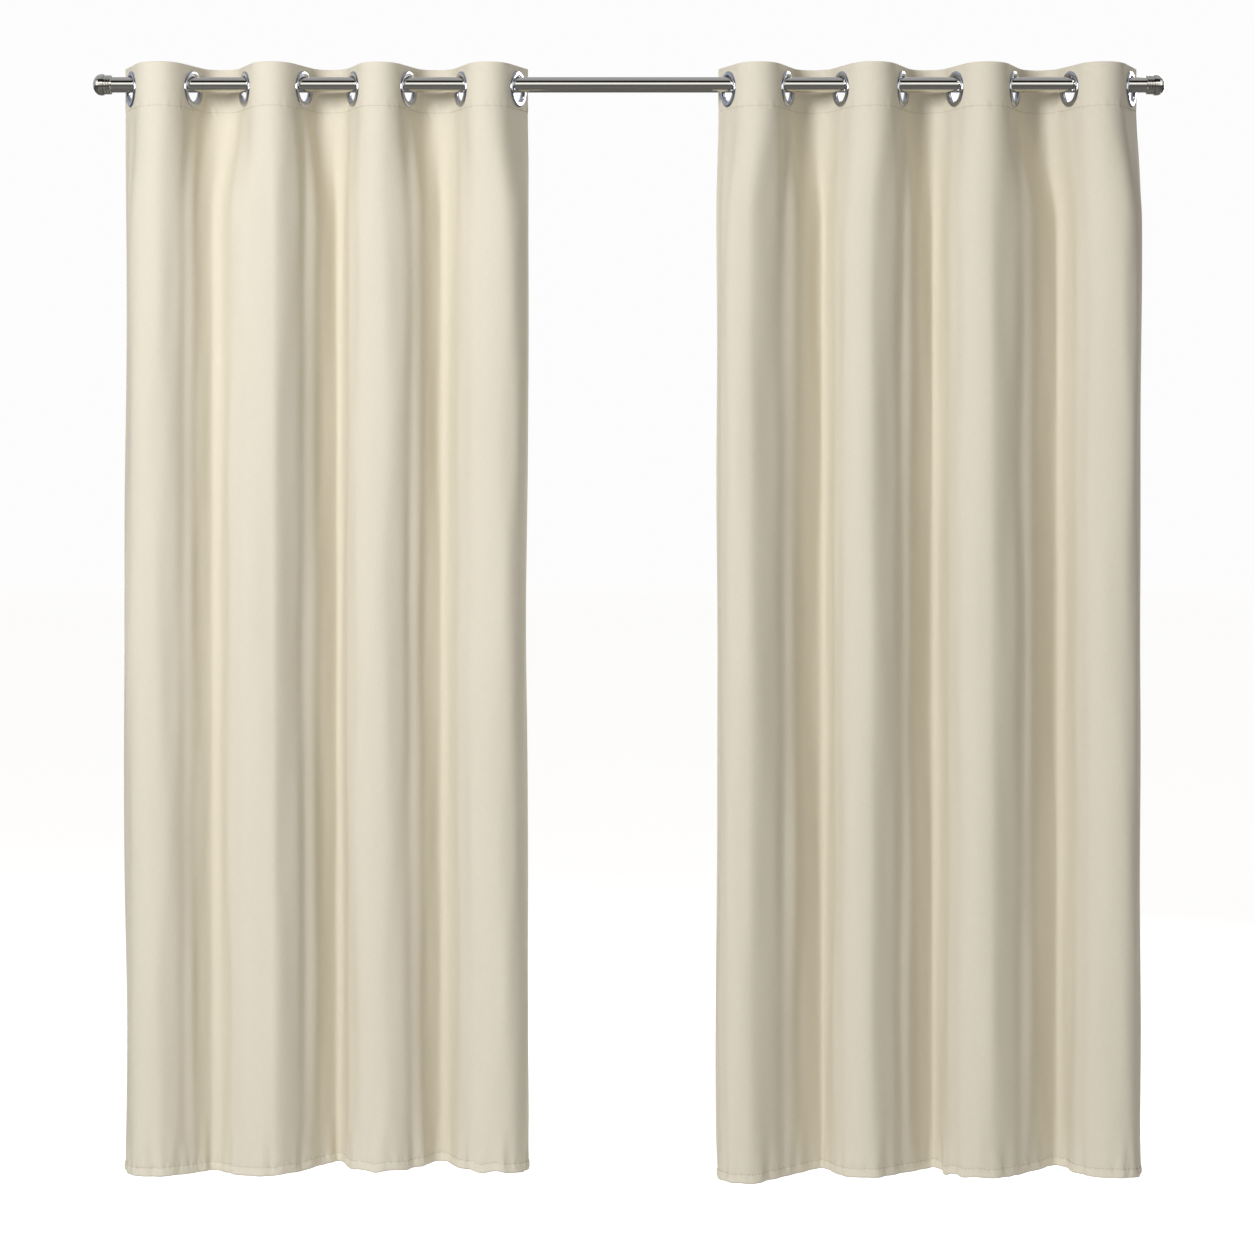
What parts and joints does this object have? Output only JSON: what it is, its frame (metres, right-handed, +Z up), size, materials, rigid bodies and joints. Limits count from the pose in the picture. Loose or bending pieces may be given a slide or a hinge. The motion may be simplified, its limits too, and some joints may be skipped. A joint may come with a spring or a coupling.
{
  "type": "window curtains on a rod",
  "caption": "Pair of eyelet-top curtain panels hung in folds on a round metal rod with domed finials; each panel draws open and closed along the rod.",
  "frame": {"origin": "middle of the rod, on the tube's axis", "axes": "+X along the rod to the viewer's right, +Y from the room towards the window, +Z up"},
  "size_m": [1.7686, 0.1172, 1.829],
  "materials": {
    "rod_nickel": "brushed nickel, satin",
    "finial_nickel": "polished nickel",
    "eyelet_chrome": "bright plated",
    "curtain_fabric": "matte cream twill"
  },
  "bodies": {
    "rod": {"rod_tube": "rod_nickel"},
    "left_finial": {"left_finial_cap": "finial_nickel", "left_finial_collar": "finial_nickel"},
    "right_finial": {"right_finial_cap": "finial_nickel", "right_finial_collar": "finial_nickel"},
    "left_fold_1": {"left_fold_1_cloth": "curtain_fabric", "left_eyelet_1_front": "eyelet_chrome", "left_eyelet_1_back": "eyelet_chrome"},
    "left_fold_2": {"left_fold_2_cloth": "curtain_fabric", "left_eyelet_2_front": "eyelet_chrome", "left_eyelet_2_back": "eyelet_chrome"},
    "left_fold_3": {"left_fold_3_cloth": "curtain_fabric", "left_eyelet_3_front": "eyelet_chrome", "left_eyelet_3_back": "eyelet_chrome"},
    "left_fold_4": {"left_fold_4_cloth": "curtain_fabric", "left_eyelet_4_front": "eyelet_chrome", "left_eyelet_4_back": "eyelet_chrome"},
    "left_fold_5": {"left_fold_5_cloth": "curtain_fabric", "left_eyelet_5_front": "eyelet_chrome", "left_eyelet_5_back": "eyelet_chrome"},
    "left_fold_6": {"left_fold_6_cloth": "curtain_fabric", "left_eyelet_6_front": "eyelet_chrome", "left_eyelet_6_back": "eyelet_chrome"},
    "left_fold_7": {"left_fold_7_cloth": "curtain_fabric", "left_eyelet_7_front": "eyelet_chrome", "left_eyelet_7_back": "eyelet_chrome"},
    "left_fold_8": {"left_fold_8_cloth": "curtain_fabric", "left_eyelet_8_front": "eyelet_chrome", "left_eyelet_8_back": "eyelet_chrome"},
    "right_fold_1": {"right_fold_1_cloth": "curtain_fabric", "right_eyelet_1_front": "eyelet_chrome", "right_eyelet_1_back": "eyelet_chrome"},
    "right_fold_2": {"right_fold_2_cloth": "curtain_fabric", "right_eyelet_2_front": "eyelet_chrome", "right_eyelet_2_back": "eyelet_chrome"},
    "right_fold_3": {"right_fold_3_cloth": "curtain_fabric", "right_eyelet_3_front": "eyelet_chrome", "right_eyelet_3_back": "eyelet_chrome"},
    "right_fold_4": {"right_fold_4_cloth": "curtain_fabric", "right_eyelet_4_front": "eyelet_chrome", "right_eyelet_4_back": "eyelet_chrome"},
    "right_fold_5": {"right_fold_5_cloth": "curtain_fabric", "right_eyelet_5_front": "eyelet_chrome", "right_eyelet_5_back": "eyelet_chrome"},
    "right_fold_6": {"right_fold_6_cloth": "curtain_fabric", "right_eyelet_6_front": "eyelet_chrome", "right_eyelet_6_back": "eyelet_chrome"},
    "right_fold_7": {"right_fold_7_cloth": "curtain_fabric", "right_eyelet_7_front": "eyelet_chrome", "right_eyelet_7_back": "eyelet_chrome"},
    "right_fold_8": {"right_fold_8_cloth": "curtain_fabric", "right_eyelet_8_front": "eyelet_chrome", "right_eyelet_8_back": "eyelet_chrome"}
  },
  "joints": [
    {"name": "left_finial_pull", "type": "slide", "parent": "rod", "child": "left_finial", "axis": [-1, 0, 0], "range_m": [0, 0.035]},
    {"name": "right_finial_pull", "type": "slide", "parent": "rod", "child": "right_finial", "axis": [1, 0, 0], "range_m": [0, 0.035]},
    {"name": "left_draw", "type": "hinge", "parent": "rod", "child": "left_fold_1", "pos_m": [-0.82, 0, 0], "axis": [0, 0, -1], "range_deg": [-11.5, 28]},
    {"name": "left_crest_1_bend", "type": "hinge", "parent": "left_fold_1", "child": "left_fold_2", "pos_m": [-0.77006, -0.05952, 0], "axis": [0, 0, -1], "range_deg": [-56, 23]},
    {"name": "left_crest_2_bend", "type": "hinge", "parent": "left_fold_2", "child": "left_fold_3", "pos_m": [-0.67654, 0.05194, 0], "axis": [0, 0, -1], "range_deg": [-23, 56]},
    {"name": "left_crest_3_bend", "type": "hinge", "parent": "left_fold_3", "child": "left_fold_4", "pos_m": [-0.58528, -0.05681, 0], "axis": [0, 0, -1], "range_deg": [-56, 23]},
    {"name": "left_crest_4_bend", "type": "hinge", "parent": "left_fold_4", "child": "left_fold_5", "pos_m": [-0.49584, 0.04978, 0], "axis": [0, 0, -1], "range_deg": [-23, 56]},
    {"name": "left_crest_5_bend", "type": "hinge", "parent": "left_fold_5", "child": "left_fold_6", "pos_m": [-0.40958, -0.05302, 0], "axis": [0, 0, -1], "range_deg": [-56, 23]},
    {"name": "left_crest_6_bend", "type": "hinge", "parent": "left_fold_6", "child": "left_fold_7", "pos_m": [-0.3206, 0.05302, 0], "axis": [0, 0, -1], "range_deg": [-23, 56]},
    {"name": "left_crest_7_bend", "type": "hinge", "parent": "left_fold_7", "child": "left_fold_8", "pos_m": [-0.23025, -0.05465, 0], "axis": [0, 0, -1], "range_deg": [-56, 23]},
    {"name": "right_draw", "type": "hinge", "parent": "rod", "child": "right_fold_1", "pos_m": [0.8266, 0, 0], "axis": [0, 0, 1], "range_deg": [-11.5, 28]},
    {"name": "right_crest_1_bend", "type": "hinge", "parent": "right_fold_1", "child": "right_fold_2", "pos_m": [0.77746, -0.05856, 0], "axis": [0, 0, 1], "range_deg": [-56, 23]},
    {"name": "right_crest_2_bend", "type": "hinge", "parent": "right_fold_2", "child": "right_fold_3", "pos_m": [0.68154, 0.05575, 0], "axis": [0, 0, 1], "range_deg": [-23, 56]},
    {"name": "right_crest_3_bend", "type": "hinge", "parent": "right_fold_3", "child": "right_fold_4", "pos_m": [0.58704, -0.05687, 0], "axis": [0, 0, 1], "range_deg": [-56, 23]},
    {"name": "right_crest_4_bend", "type": "hinge", "parent": "right_fold_4", "child": "right_fold_5", "pos_m": [0.4949, 0.05293, 0], "axis": [0, 0, 1], "range_deg": [-23, 56]},
    {"name": "right_crest_5_bend", "type": "hinge", "parent": "right_fold_5", "child": "right_fold_6", "pos_m": [0.40088, -0.05913, 0], "axis": [0, 0, 1], "range_deg": [-56, 23]},
    {"name": "right_crest_6_bend", "type": "hinge", "parent": "right_fold_6", "child": "right_fold_7", "pos_m": [0.3059, 0.05406, 0], "axis": [0, 0, 1], "range_deg": [-23, 56]},
    {"name": "right_crest_7_bend", "type": "hinge", "parent": "right_fold_7", "child": "right_fold_8", "pos_m": [0.21282, -0.05687, 0], "axis": [0, 0, 1], "range_deg": [-56, 23]}
  ],
  "couplings": [
    {"joint": "left_crest_1_bend", "follows": "left_draw", "ratio": -2},
    {"joint": "left_crest_2_bend", "follows": "left_draw", "ratio": 2},
    {"joint": "left_crest_3_bend", "follows": "left_draw", "ratio": -2},
    {"joint": "left_crest_4_bend", "follows": "left_draw", "ratio": 2},
    {"joint": "left_crest_5_bend", "follows": "left_draw", "ratio": -2},
    {"joint": "left_crest_6_bend", "follows": "left_draw", "ratio": 2},
    {"joint": "left_crest_7_bend", "follows": "left_draw", "ratio": -2},
    {"joint": "right_crest_1_bend", "follows": "right_draw", "ratio": -2},
    {"joint": "right_crest_2_bend", "follows": "right_draw", "ratio": 2},
    {"joint": "right_crest_3_bend", "follows": "right_draw", "ratio": -2},
    {"joint": "right_crest_4_bend", "follows": "right_draw", "ratio": 2},
    {"joint": "right_crest_5_bend", "follows": "right_draw", "ratio": -2},
    {"joint": "right_crest_6_bend", "follows": "right_draw", "ratio": 2},
    {"joint": "right_crest_7_bend", "follows": "right_draw", "ratio": -2}
  ]
}
